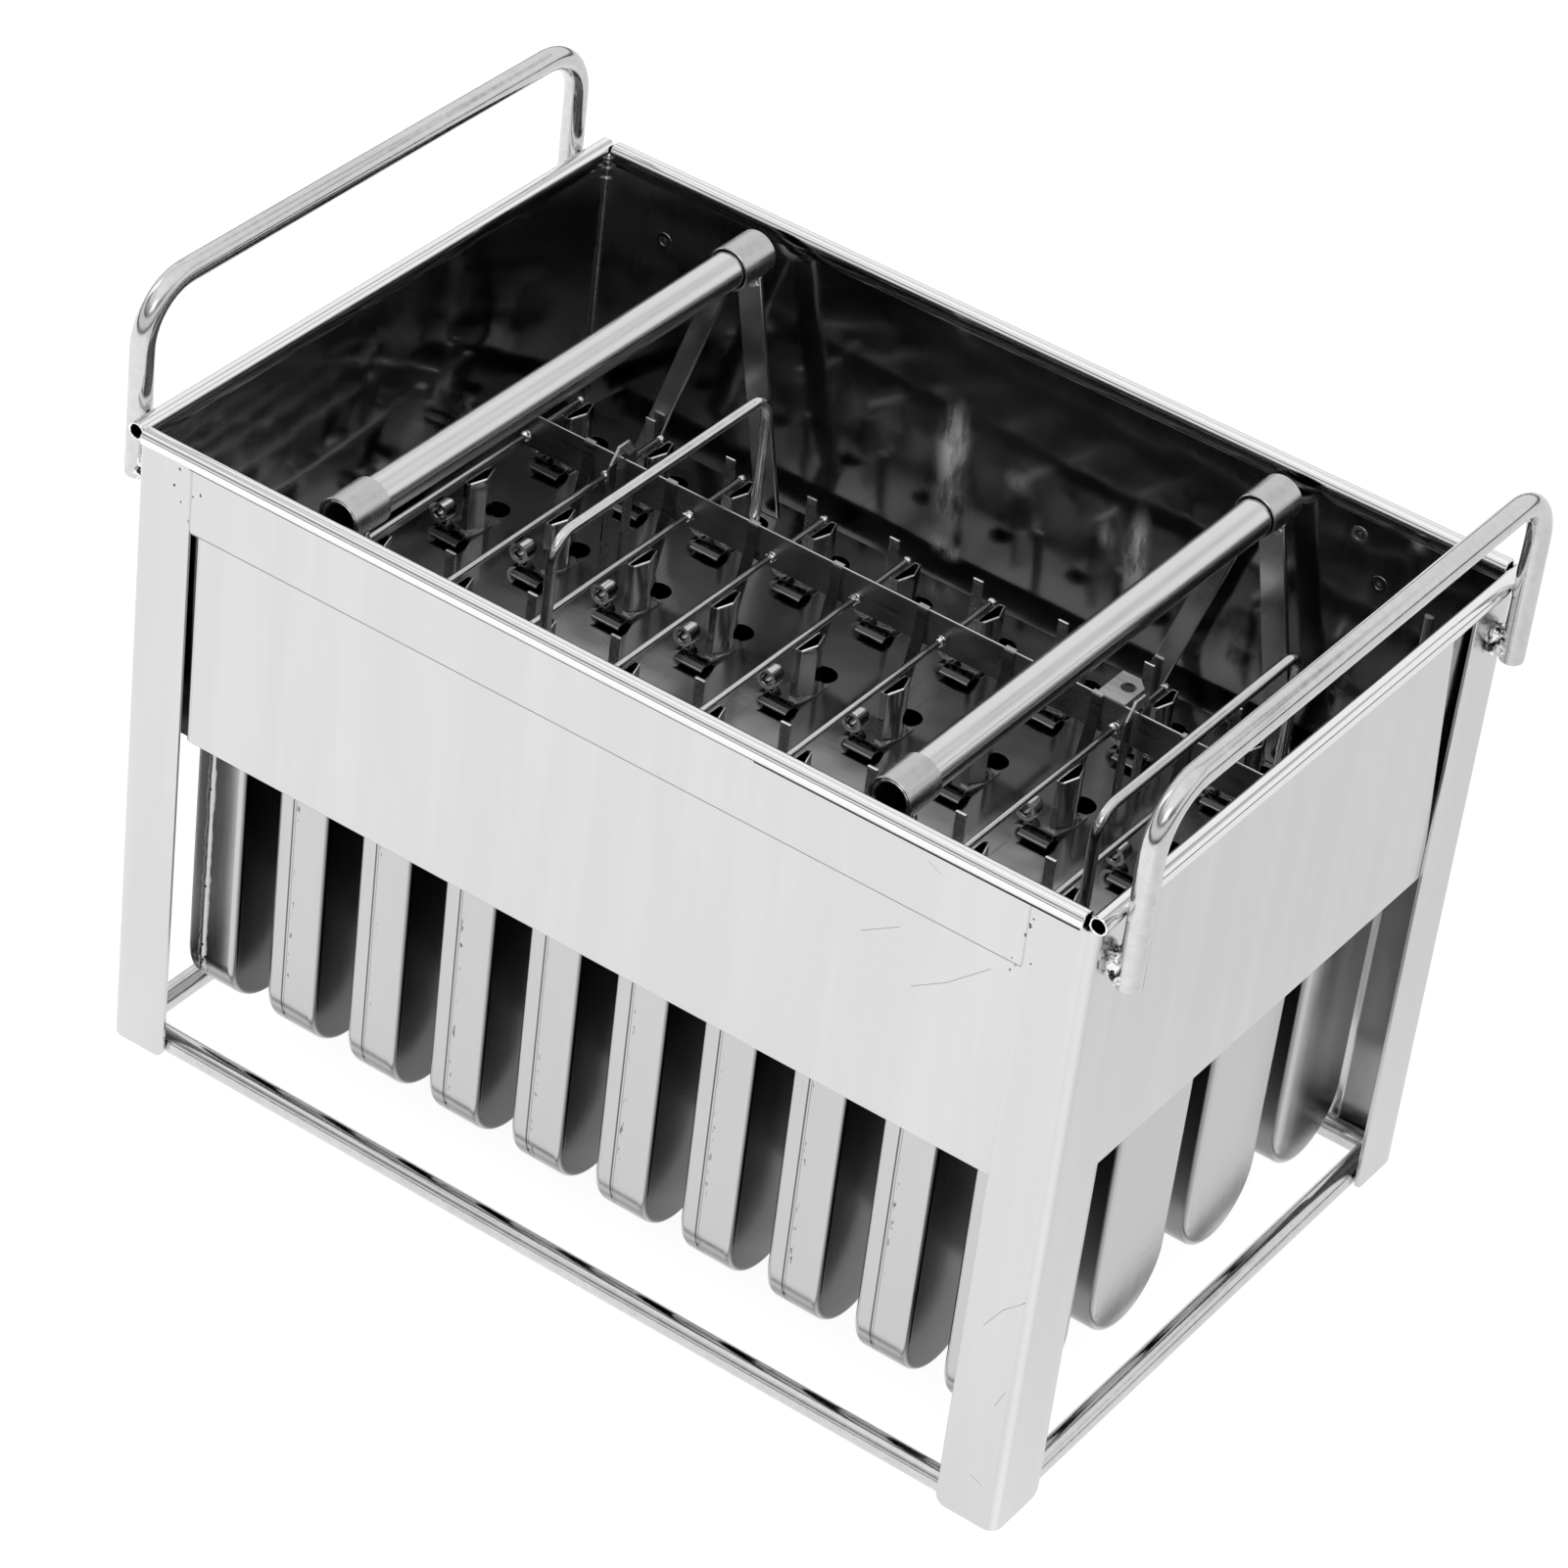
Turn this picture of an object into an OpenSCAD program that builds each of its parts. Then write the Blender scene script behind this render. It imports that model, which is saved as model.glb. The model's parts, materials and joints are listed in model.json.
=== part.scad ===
// Ice pop mold: a sheet steel basin on four folded legs with forty hanging pockets,
// and a lift-out stick holder with a sliding clamp. Millimetres, +Z up, ground at z = 0,
// X and Y centred on the basin.

/* [Basin] */
// Length of the basin over the legs
mold_length = 368; // [340:1:400]
// Width of the basin over the legs
mold_width = 248; // [230:1:260]
// Height of the rolled rim above the ground
rim_height = 250; // [240:1:270]
// Height of the basin floor above the ground
floor_top = 140; // [130:1:150]
// Thickness of the basin walls
wall_t = 0.8; // [0.6:0.1:1.2]
// Thickness of the basin floor
floor_t = 1.0; // [0.6:0.1:1.5]
// Outside radius of the rolled hem
hem_r = 3.25; // [2.5:0.05:4]

/* [Pockets] */
// Pockets in one row
columns = 10; // [10:1:10]
// Distance from the outer plane of a leg to the first column's pocket
column_margin = 16.675; // [15:0.025:19]
// Distance from the outer plane of a leg to the first row's pocket
row_margin = 17.9; // [16:0.1:20]
// Outside size of a pocket along X
pocket_x = 21; // [18:0.5:23]
// Outside size of a pocket along Y
pocket_y = 43.3; // [38:0.1:46]
// Lowest point of the pockets above the ground
pocket_low = 15.5; // [12:0.5:30]
// Thickness of the pocket walls
pocket_t = 0.8; // [0.6:0.1:1.2]
// Radius of the pockets' upright corners
pocket_corner = 2.6; // [2:0.1:4]

/* [Legs and panels] */
// Thickness of legs and bands
leg_t = 1.5; // [1:0.1:2.5]
// Width of the leg flange along X
leg_x = 23; // [20:1:30]
// Width of the leg flange along Y
leg_y = 25; // [20:1:30]
// Outside radius of the leg's fold
leg_fold = 4.5; // [3:0.5:4.5]
// Rounding of the lower corners of the legs
leg_foot_r = 4; // [2:0.5:6]
// Gap between the leg top and the rolled hem
leg_top_gap = 0.5; // [0.3:0.1:2]
// Thickness of the outer panels
panel_t = 1.0; // [0.8:0.1:1.5]
// Lower edge of the outer panels above the ground
panel_low = 136; // [130:1:140]
// Open gap beside one leg of a long panel
panel_gap = 3.5; // [2:0.5:6]
// Height of the rim band
band_h = 24.4; // [18:0.2:30]
// Weld gap between the rim band and the legs
band_gap = 0.3; // [0.2:0.1:1]
// Distance from the leg at the top of a short panel's slanted edge
slant_top = 12; // [6:1:20]
// Overlap with the leg at the foot of a short panel's slanted edge
slant_low = 2; // [1:0.5:4]

/* [Rods] */
// Diameter of base rails and carry handles
rod_d = 8.5; // [7:0.1:10]
// Clearance between a welded rod and the sheet behind it
weld_gap = 0.25; // [0.2:0.05:0.4]
// Distance from the outer plane to a carry handle's leg axis
carry_inset = 10.5; // [9:0.5:18]
// Lower end of a carry handle above the ground
carry_low = 222; // [215:1:230]
// Height of a carry handle's top above the ground, at its axis
carry_top = 289.5; // [280:0.5:310]
// Bend radius of a carry handle at its axis
carry_bend = 20; // [15:1:30]
// Diameter of the weld lug that joins a carry handle's foot to the leg
lug_d = 7; // [5:0.5:8]
// Height of the weld lug's axis above the handle's foot
lug_rise = 5; // [4:0.5:9]

/* [Stick holder] */
// Distance from the outer plane to the holder plate's short sides
plate_gap_x = 8; // [7.5:0.5:14]
// Distance from the outer plane to the holder plate's long sides
plate_gap_y = 9.7; // [9:0.1:12]
// Thickness of the holder plate
plate_t = 1.2; // [1:0.1:1.5]
// Height of the holder plate's top above the basin floor
plate_rise = 7; // [5:0.5:10]
// Length of a stick slot along Y
slot_y = 12.5; // [11:0.5:14]
// Width of a stick slot along X
slot_x = 2.6; // [2.2:0.1:3]
// Diameter of the round holes before and behind a clip
louver_d = 10; // [8:0.5:11]
// Distance of the round holes from the row's centre
louver_y = 13; // [12:0.5:14]
// Width of a clip's foot along X
foot_x = 11.5; // [10:0.5:12]
// Length of a clip's foot along Y
foot_y = 17; // [15:0.5:18]
// Length of the raised tongue before the foot
tongue_y = 8.5; // [6:0.5:9]
// Rise of the raised tongue
tongue_rise = 2.6; // [1.5:0.1:3.5]
// Bulge of the channel's second wall
bulge = 2.2; // [1.5:0.1:2.5]
// Height of a stick clip above the plate
clip_h = 21; // [16:1:24]
// Thickness of the clip sheet
clip_t = 0.6; // [0.5:0.1:0.8]
// Length of a clip's channel along Y
clip_y = 13.7; // [12:0.1:16]
// Outside diameter of the rolled curl
curl_d = 6; // [4:0.5:7]
// Height of a guide post above the plate
post_h = 17.5; // [12:0.5:20]
// Width of a guide post
post_w = 4; // [3:0.5:5]
// Thickness of a guide post
post_t = 1; // [0.8:0.1:1.5]
// Distance of a guide post behind its row's centre
post_y = 18; // [17:0.5:19]

/* [Grip] */
// Outside diameter of a grip tube
grip_d = 13.5; // [12:0.5:15]
// Wall thickness of a grip tube
grip_t = 1; // [0.8:0.1:2]
// Outside diameter of the grip collars
collar_d = 16; // [15.5:0.5:18]
// Length of a grip collar
collar_l = 21; // [15:1:30]
// Distance from the outer plane to the end of a grip tube
grip_inset = 13; // [12:0.5:16]
// Height of the grip tube axis above the ground
grip_z = 243; // [235:1:245]
// Distance of the left grip tube before the second column gap
grip_left_off = 4.95; // [3:0.05:6]
// Distance of the right grip tube before the eighth column gap
grip_right_off = 3.05; // [1:0.05:5]
// Run of a brace's long arm from the tube toward +X
arm_run = 20; // [16:1:24]
// Run of a brace's strut from the tube toward -X
strut_run = 34; // [28:1:36]
// Distance of a brace from the tube's end
brace_inset = 5; // [4:0.5:8]
// Width of a grip brace bar
brace_w = 10; // [8:0.5:12]
// Thickness of a grip brace bar
brace_t = 2; // [1.5:0.1:3]
// Radial fit between tube, collar and brace
grip_fit = 0.05; // [0.02:0.01:0.1]

/* [Clamp] */
// Thickness of a clamp strip
strip_t = 1; // [0.8:0.1:1.5]
// Distance from the outer plane to the end of a clamp strip
strip_inset = 19; // [17:1:24]
// Top of a clamp strip above the plate
strip_top = 33; // [30:0.5:36]
// Height of a clamp strip
strip_h = 13.5; // [12:0.5:15]
// Diameter of a clamp rod
clamp_rod_d = 2.5; // [2:0.1:3]
// Distance from the outer plane to the end of a clamp rod
clamp_rod_inset = 37; // [33:1:40]
// Height of the clamp rods above the plate
clamp_rod_z = 24; // [23.5:0.5:26]
// X of a clamp rod from its column's centre
clamp_rod_x = -2; // [-3:0.1:-1.6]
// X of a strap from the middle between two columns
strap_x = 7; // [5:0.5:8]
// Running gap between the straps and the plate
strap_gap = 0.3; // [0.2:0.1:0.5]
// Diameter of a squeeze handle's rod
squeeze_d = 4; // [3:0.5:5]
// Distance of the squeeze handles behind the third and ninth column gaps
squeeze_off = 4.65; // [3:0.05:6]
// Height of a squeeze handle's axis above the ground
squeeze_top = 230; // [220:1:232]
// Bend radius of a squeeze handle at its axis
squeeze_bend = 9; // [6:1:14]
// Distance of the left gate behind the second column
gate_left_off = 3.075; // [2.8:0.025:3.6]
// Distance of the right gate behind the eighth column
gate_right_off = 4.875; // [4:0.025:6]
// Thickness of a gate's sheet
gate_t = 1; // [0.8:0.1:1.5]
// Top of a gate above the plate
gate_h = 39; // [37:0.5:42]
// Half the width of a gate
gate_half = 8; // [7:0.5:9]
// Width of a gate's legs
gate_leg = 4.5; // [3:0.5:5]
// Width of a strap over a strip
strap_w = 4; // [3:0.5:5]
// Lean of a strap's foot toward the middle
strap_lean = 8; // [6:0.5:9]
// Length of the pull tab along X
tab_x = 11; // [9:0.5:13]
// Length of the pull tab along Y
tab_y = 16; // [12:0.5:18]
// Distance between the pull tab and the right gate
tab_gap = 5; // [4:0.5:7]
// Diameter of the pull tab's hole
tab_hole = 5.5; // [4:0.5:6]

/* [Hidden] */
$fn = 48;
half_x = mold_length / 2;
half_y = mold_width / 2;
panel_out_x = half_x - leg_t;
panel_out_y = half_y - leg_t;
wall_out_x = panel_out_x - panel_t;
wall_out_y = panel_out_y - panel_t;
hem_x = wall_out_x - wall_t + hem_r;
hem_y = wall_out_y - wall_t + hem_r;
hem_z = rim_height - hem_r;
hem_end = hem_x - hem_r - 0.5;
hem_side = hem_y + 0.5;
leg_top = rim_height - 2 * hem_r - leg_top_gap;
floor_low = floor_top - floor_t;
rows = 4;
pitch_x = (mold_length - pocket_x - 2 * column_margin) / (columns - 1);
pitch_y = (mold_width - pocket_y - 2 * row_margin) / (rows - 1);
plate_x = mold_length - 2 * plate_gap_x;
plate_y = mold_width - 2 * plate_gap_y;
carry_x = hem_x + hem_r + weld_gap + rod_d / 2;
carry_y = half_y - carry_inset;
grip_half = half_y - grip_inset;
strip_half = half_x - strip_inset;
clamp_rod_half = half_y - clamp_rod_inset;
plate_top = floor_top + plate_rise;
strip_y = pitch_y;
strip_z1 = plate_top + strip_top;
strip_z0 = strip_z1 - strip_h;
rod_z = plate_top + clamp_rod_z;
column_x = [for (i = [0:columns - 1]) (i - (columns - 1) / 2) * pitch_x];
middle_x = [for (i = [0:columns - 2]) (i - (columns - 2) / 2) * pitch_x];
row_y = [for (j = [0:rows - 1]) (j - (rows - 1) / 2) * pitch_y];
grip_left_x = middle_x[1] - grip_left_off;
grip_right_x = middle_x[7] - grip_right_off;
squeeze_left_x = middle_x[2] + squeeze_off;
squeeze_right_x = middle_x[8] + squeeze_off;
gate_left_x = column_x[1] + gate_left_off;
gate_right_x = column_x[7] + gate_right_off;

// Shared shapes

module rounded(w, d, r) {
  square([w - 2 * r, d], center = true);
  square([w, d - 2 * r], center = true);
  for (a = [-1, 1], b = [-1, 1]) translate([a * (w / 2 - r), b * (d / 2 - r)]) circle(r = r);
}

// Block with rounded edges and a half-round bottom whose axis lies along X
module trough(w, d, r, top) {
  translate([0, 0, d / 2]) linear_extrude(top - d / 2) rounded(w, d, r);
  translate([0, 0, d / 2]) rotate([90, 180, 90]) rotate_extrude(angle = 180, $fn = 64) intersection() {
    rounded(d, w, r);
    translate([0, -w]) square([d, 2 * w]);
  }
}

module pocket() {
  difference() {
    trough(pocket_x, pocket_y, pocket_corner, floor_low - pocket_low);
    translate([0, 0, pocket_t])
      trough(pocket_x - 2 * pocket_t, pocket_y - 2 * pocket_t, pocket_corner - pocket_t, floor_low);
  }
}

module pocket_row(j) {
  for (x = column_x) translate([x, row_y[j], pocket_low]) pocket();
}

// Wall sheet with its hem rolled outward, facing -Y, around the middle of its own side
module long_wall(out, hem, length, tube) {
  edge = min(length, tube);
  translate([-length, -out, floor_low - 2]) cube([2 * length, wall_t, leg_top - floor_low + 2]);
  translate([-edge, -out, leg_top - 1]) cube([2 * edge, wall_t, hem_z - leg_top + 1]);
  translate([-tube, -hem, hem_z]) rotate([0, 90, 0]) difference() {
    cylinder(r = hem_r, h = 2 * tube);
    translate([0, 0, -1]) cylinder(r = hem_r - wall_t, h = 2 * tube + 2);
  }
}

// Folded leg at the left front corner
module leg() {
  translate([-half_x, -half_y, 0]) difference() {
    linear_extrude(leg_top) difference() {
      union() {
        translate([leg_fold, 0]) square([leg_x - leg_fold, leg_t]);
        translate([0, leg_fold]) square([leg_t, leg_y - leg_fold]);
        intersection() {
          translate([leg_fold, leg_fold]) circle(r = leg_fold);
          square(leg_fold);
        }
      }
      translate([leg_fold, leg_fold]) circle(r = leg_fold - leg_t);
    }
    translate([leg_x, -1, 0]) rotate([-90, 0, 0]) foot_cut();
    translate([-1, leg_y, 0]) rotate([-90, 0, -90]) mirror([1, 0, 0]) foot_cut();
  }
}

// Cutter that rounds one lower corner of a flange; the flange lies at -X and +Y below it
module foot_cut() {
  mirror([0, 1, 0]) difference() {
    translate([-leg_foot_r, -1, 0]) cube([leg_foot_r + 1, leg_foot_r + 1, leg_t + 2]);
    translate([-leg_foot_r, leg_foot_r, -1]) cylinder(r = leg_foot_r, h = leg_t + 4);
  }
}

// Long panel on the front; its right end lies behind the leg, its left end stops short of the leg
module long_panel() {
  left = half_x - leg_x - panel_gap;
  translate([-left, -panel_out_y, panel_low])
    cube([left + half_x - leg_fold - 1, panel_t, leg_top - 1 - panel_low]);
}

// Short panel on the right with a slanted rear edge
module short_panel() {
  edge = half_y - leg_y;
  translate([wall_out_x, 0, 0]) rotate([90, 0, 90]) linear_extrude(panel_t) polygon([
    [-half_y + leg_fold + 1, panel_low], [edge + slant_low, panel_low],
    [edge - slant_top, leg_top - 1], [-half_y + leg_fold + 1, leg_top - 1]
  ]);
}

module band() {
  half = half_x - leg_x - band_gap;
  translate([-half, -half_y, leg_top - band_h]) cube([2 * half, leg_t, band_h]);
}

module long_rail() {
  half = half_x - leg_fold - weld_gap;
  translate([-half, -(panel_out_y - rod_d / 2 - weld_gap), rod_d / 2])
    rotate([0, 90, 0]) cylinder(d = rod_d, h = 2 * half);
}

module short_rail() {
  half = panel_out_y - rod_d - 2 * weld_gap;
  translate([panel_out_x - rod_d / 2 - weld_gap, half, rod_d / 2])
    rotate([90, 0, 0]) cylinder(d = rod_d, h = 2 * half);
}

// Bail in the YZ plane: legs at +-half, bends of radius bend, ends at low
module bail(d, half, low, top, bend) {
  for (s = [-1, 1]) {
    translate([0, s * half, low]) cylinder(d = d, h = top - bend - low);
    translate([0, s * (half - bend), top - bend]) rotate([90, 0, 90])
      rotate([0, 0, s > 0 ? 0 : 90]) rotate_extrude(angle = 90) translate([bend, 0]) circle(d = d);
  }
  translate([0, half - bend, top]) rotate([90, 0, 0]) cylinder(d = d, h = 2 * (half - bend));
}

module carry_handle() {
  translate([carry_x, 0, 0]) bail(rod_d, carry_y, carry_low, carry_top, carry_bend);
  for (s = [-1, 1]) translate([half_x, s * carry_y, carry_low + lug_rise])
    rotate([0, 90, 0]) cylinder(d = lug_d, h = carry_x - half_x);
}

// Stick clip around a column's centre, standing on z = 0
module clip() {
  flat = clamp_rod_x - 0.1;
  v0 = 0.5;
  v1 = v0 + bulge;
  h = clip_y / 2;
  foot = -foot_x / 2 + clamp_rod_x - 0.25;
  f = -foot_y / 2;
  t = clip_t;
  // foot strip with the stick slot
  linear_extrude(t) difference() {
    translate([foot, f]) square([foot_x, foot_y]);
    translate([-slot_x / 2 - 0.2, -slot_y / 2 + t]) square([slot_x, slot_y - 2 * t]);
  }
  // raised tongue over the front hole
  translate([foot, 0, 0]) rotate([90, 0, 90]) linear_extrude(foot_x) polygon([
    [f, 0], [f, t], [f - 0.3 * tongue_y, 0.85 * tongue_rise + t], [f - 0.76 * tongue_y, tongue_rise + t],
    [f - tongue_y, 0.6 * tongue_rise + t], [f - tongue_y, 0.6 * tongue_rise],
    [f - 0.76 * tongue_y, tongue_rise], [f - 0.3 * tongue_y, 0.85 * tongue_rise], [f - t, 0]
  ]);
  // channel: flat wall, two ends and a bulged wall
  linear_extrude(clip_h) {
    translate([flat, -h]) square([t, clip_y]);
    for (s = [-1, 1]) translate([flat, s * (h - t / 2) - t / 2]) square([v0 - flat, t]);
    polygon([[v0, -h], [v1, 0], [v0, h], [v0 - t, h], [v0 - t, h - t],
      [v1 - 1.1 * t, 0], [v0 - t, -h + t], [v0 - t, -h]]);
  }
  // rolled curl on its leg
  curl = foot - curl_d / 2;
  translate([curl, f + 0.5, 0]) cube([curl_d / 2 + 0.2, curl_d, t]);
  translate([curl, f + 0.5, 0]) cube([t, curl_d, 4 * t]);
  translate([curl, f + 0.5 + curl_d, 2 + curl_d / 2]) rotate([90, 0, 0]) difference() {
    cylinder(d = curl_d, h = curl_d);
    translate([0, 0, -1]) cylinder(d = curl_d - 2 * t, h = curl_d + 2);
  }
}

module clip_row(j) {
  for (x = column_x) translate([x, row_y[j], plate_top]) clip();
}

module gate(x, y) {
  w = gate_half;
  g = gate_leg;
  h = gate_h;
  translate([x - gate_t / 2, y, plate_top]) rotate([90, 0, 90]) linear_extrude(gate_t) polygon([
    [-w, 0], [-w, h - 7], [-w + 5, h], [w - 5, h], [w, h - 7], [w, 0],
    [w - g, 0], [w - g, h - 6], [w - g - 2, h - 4], [-w + g + 2, h - 4], [-w + g, h - 6], [-w + g, 0]
  ]);
}

module grip_tube(x) {
  translate([x, grip_half, grip_z]) rotate([90, 0, 0]) difference() {
    cylinder(d = grip_d, h = 2 * grip_half);
    translate([0, 0, -1]) cylinder(d = grip_d - 2 * grip_t, h = 2 * grip_half + 2);
  }
}

module grip_collars(x) {
  for (s = [-1, 1]) translate([x, s * (grip_half - collar_l / 2), grip_z]) rotate([90, 0, 0]) difference() {
    cylinder(d = collar_d, h = collar_l, center = true);
    cylinder(d = grip_d + 2 * grip_fit, h = collar_l + 2, center = true);
  }
}

// Slanted bar in the XZ plane from the plate up to the collar
module brace_bar(foot, head, head_z, w) {
  translate([0, brace_t / 2, 0]) rotate([90, 0, 0]) linear_extrude(brace_t) polygon([
    [foot - w / 2, plate_top], [foot + w / 2, plate_top], [head + w / 2, head_z], [head - w / 2, head_z]
  ]);
}

module grip_braces(x) {
  for (s = [-1, 1]) translate([x, s * (grip_half - brace_inset), 0]) difference() {
    union() {
      brace_bar(arm_run, 0.5, grip_z - 3, brace_w);
      brace_bar(-strut_run, -6, grip_z - 2, brace_w * 0.8);
    }
    translate([0, 0, grip_z]) rotate([90, 0, 0]) cylinder(d = collar_d + 2 * grip_fit, h = 2 * brace_t, center = true);
  }
}

// Strip at +Y; the straps lean toward the middle of the holder
module strip(s, tab) {
  hole = clamp_rod_d + 0.1;
  difference() {
    translate([-strip_half, s * strip_y - strip_t / 2, strip_z0]) cube([2 * strip_half, strip_t, strip_h]);
    for (x = column_x) translate([x + clamp_rod_x, s * strip_y, rod_z]) rotate([90, 0, 0])
      cylinder(d = hole, h = 4 * strip_t, center = true);
  }
  for (x = middle_x) translate([x + strap_x, s * strip_y, 0]) strap(s);
  if (tab) difference() {
    translate([gate_right_x - tab_gap - tab_x, strip_y - strip_t / 2, strip_z1]) linear_extrude(strip_t)
      polygon([[0, 0], [tab_x, 0], [tab_x, 0.75 * tab_y], [0.64 * tab_x, tab_y], [0, tab_y]]);
    translate([gate_right_x - tab_gap - 0.4 * tab_x, strip_y + 0.54 * tab_y, strip_z1 - 1])
      cylinder(d = tab_hole, h = strip_t + 2);
  }
}

module strap(s) {
  a = strip_t / 2;
  t = strip_t;
  translate([-strap_w / 2, 0, 0]) rotate([90, 0, 90]) linear_extrude(strap_w) scale([-s, 1]) polygon([
    [-a, strip_z1], [-a, strip_z1 + t], [a + 0.6 * t, strip_z1 + t], [a + t, strip_z1 + 0.4 * t],
    [a + t, strip_z0 + 0.4 * strip_h], [a + strap_lean, plate_top + strap_gap],
    [a + strap_lean - t, plate_top + strap_gap], [a, strip_z0 + 0.3 * strip_h], [a, strip_z1]
  ]);
}

module clamp_rods() {
  for (x = column_x) translate([x + clamp_rod_x, 0, rod_z]) {
    rotate([90, 0, 0]) cylinder(d = clamp_rod_d, h = 2 * clamp_rod_half, center = true);
    translate([0, clamp_rod_half - 1, 0]) sphere(r = clamp_rod_d * 0.7);
  }
}

module squeeze_handle(x) {
  half = strip_y + strip_t / 2 + squeeze_d / 2 + 0.05;
  translate([x, 0, 0]) bail(squeeze_d, half, strip_z0 + 1.5, squeeze_top, squeeze_bend);
}

// Sub-parts

module wall_front() { color("Silver") long_wall(wall_out_y, hem_y, wall_out_x, hem_end); }
module wall_rear() { color("Silver") rotate([0, 0, 180]) long_wall(wall_out_y, hem_y, wall_out_x, hem_end); }
module wall_left() {
  color("Silver") rotate([0, 0, -90]) long_wall(wall_out_x, hem_x, wall_out_y - wall_t, hem_side);
}
module wall_right() {
  color("Silver") rotate([0, 0, 90]) long_wall(wall_out_x, hem_x, wall_out_y - wall_t, hem_side);
}

module basin_floor() {
  color("DarkGray") difference() {
    translate([-wall_out_x + wall_t, -wall_out_y + wall_t, floor_low])
      cube([2 * (wall_out_x - wall_t), 2 * (wall_out_y - wall_t), floor_t]);
    for (x = column_x, y = row_y) translate([x, y, floor_low - 1]) linear_extrude(floor_t + 2)
      rounded(pocket_x - 2 * pocket_t, pocket_y - 2 * pocket_t, pocket_corner - pocket_t);
  }
}

module pocket_row_1() { color("Gainsboro") pocket_row(0); }
module pocket_row_2() { color("Gainsboro") pocket_row(1); }
module pocket_row_3() { color("Gainsboro") pocket_row(2); }
module pocket_row_4() { color("Gainsboro") pocket_row(3); }

module panel_front() { color("Gainsboro") long_panel(); }
module panel_rear() { color("Gainsboro") rotate([0, 0, 180]) long_panel(); }
module panel_right() { color("Gainsboro") short_panel(); }
module panel_left() { color("Gainsboro") mirror([1, 0, 0]) short_panel(); }
module band_front() { color("LightGray") band(); }
module band_rear() { color("LightGray") rotate([0, 0, 180]) band(); }

module leg_front_left() { color("LightGray") leg(); }
module leg_front_right() { color("LightGray") mirror([1, 0, 0]) leg(); }
module leg_rear_left() { color("LightGray") mirror([0, 1, 0]) leg(); }
module leg_rear_right() { color("LightGray") rotate([0, 0, 180]) leg(); }

module base_rail_front() { color("Silver") long_rail(); }
module base_rail_rear() { color("Silver") mirror([0, 1, 0]) long_rail(); }
module base_rail_right() { color("Silver") short_rail(); }
module base_rail_left() { color("Silver") mirror([1, 0, 0]) short_rail(); }

module carry_handle_right() { color("Silver") carry_handle(); }
module carry_handle_left() { color("Silver") mirror([1, 0, 0]) carry_handle(); }

module holder_plate() {
  color("DarkGray") {
    difference() {
      translate([-plate_x / 2, -plate_y / 2, plate_top - plate_t]) cube([plate_x, plate_y, plate_t]);
      for (x = column_x, y = row_y) translate([x, y, plate_top - plate_t - 1]) {
        translate([-slot_x / 2 - 0.2, -slot_y / 2, 0]) cube([slot_x, slot_y, plate_t + 2]);
        for (s = [-1, 1]) translate([clamp_rod_x, s * louver_y, 0]) cylinder(d = louver_d, h = plate_t + 2);
      }
    }
    for (s = [-1, 1]) translate([-plate_x / 2, s > 0 ? plate_y / 2 - plate_t : -plate_y / 2, floor_top])
      cube([plate_x, plate_t, plate_rise]);
  }
}

module stick_clips_row_1() { color("Gray") clip_row(0); }
module stick_clips_row_2() { color("Gray") clip_row(1); }
module stick_clips_row_3() { color("Gray") clip_row(2); }
module stick_clips_row_4() { color("Gray") clip_row(3); }

module guide_posts() {
  color("Gray") for (x = middle_x, y = [row_y[1] + post_y, row_y[3] + post_y])
    translate([x - post_w / 2, y - post_t / 2, plate_top]) cube([post_w, post_t, post_h]);
}

module strip_gates() {
  color("Gray") for (x = [gate_left_x, gate_right_x], s = [-1, 1]) gate(x, s * strip_y);
}

module grip_tube_left() { color("Silver") grip_tube(grip_left_x); }
module grip_tube_right() { color("Silver") grip_tube(grip_right_x); }
module grip_collars_left() { color("LightGray") grip_collars(grip_left_x); }
module grip_collars_right() { color("LightGray") grip_collars(grip_right_x); }
module grip_braces_left() { color("Silver") grip_braces(grip_left_x); }
module grip_braces_right() { color("Silver") grip_braces(grip_right_x); }

module clamp_strip_front() { color("Gray") strip(-1, false); }
module clamp_strip_rear() { color("Gray") strip(1, true); }
module squeeze_handle_left() { color("Silver") squeeze_handle(squeeze_left_x); }
module squeeze_handle_right() { color("Silver") squeeze_handle(squeeze_right_x); }

wall_front();
wall_rear();
wall_left();
wall_right();
basin_floor();
pocket_row_1();
pocket_row_2();
pocket_row_3();
pocket_row_4();
panel_front();
panel_rear();
panel_left();
panel_right();
band_front();
band_rear();
leg_front_left();
leg_front_right();
leg_rear_left();
leg_rear_right();
base_rail_front();
base_rail_rear();
base_rail_left();
base_rail_right();
carry_handle_left();
carry_handle_right();
holder_plate();
stick_clips_row_1();
stick_clips_row_2();
stick_clips_row_3();
stick_clips_row_4();
guide_posts();
strip_gates();
grip_tube_left();
grip_tube_right();
grip_collars_left();
grip_collars_right();
grip_braces_left();
grip_braces_right();
clamp_strip_front();
clamp_strip_rear();
clamp_rods();
squeeze_handle_left();
squeeze_handle_right();
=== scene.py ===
"""Ice pop mold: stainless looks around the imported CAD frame. Metres, +Z up."""

import bpy
import bmesh
import json
import math
from mathutils import Matrix, Vector, noise


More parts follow.
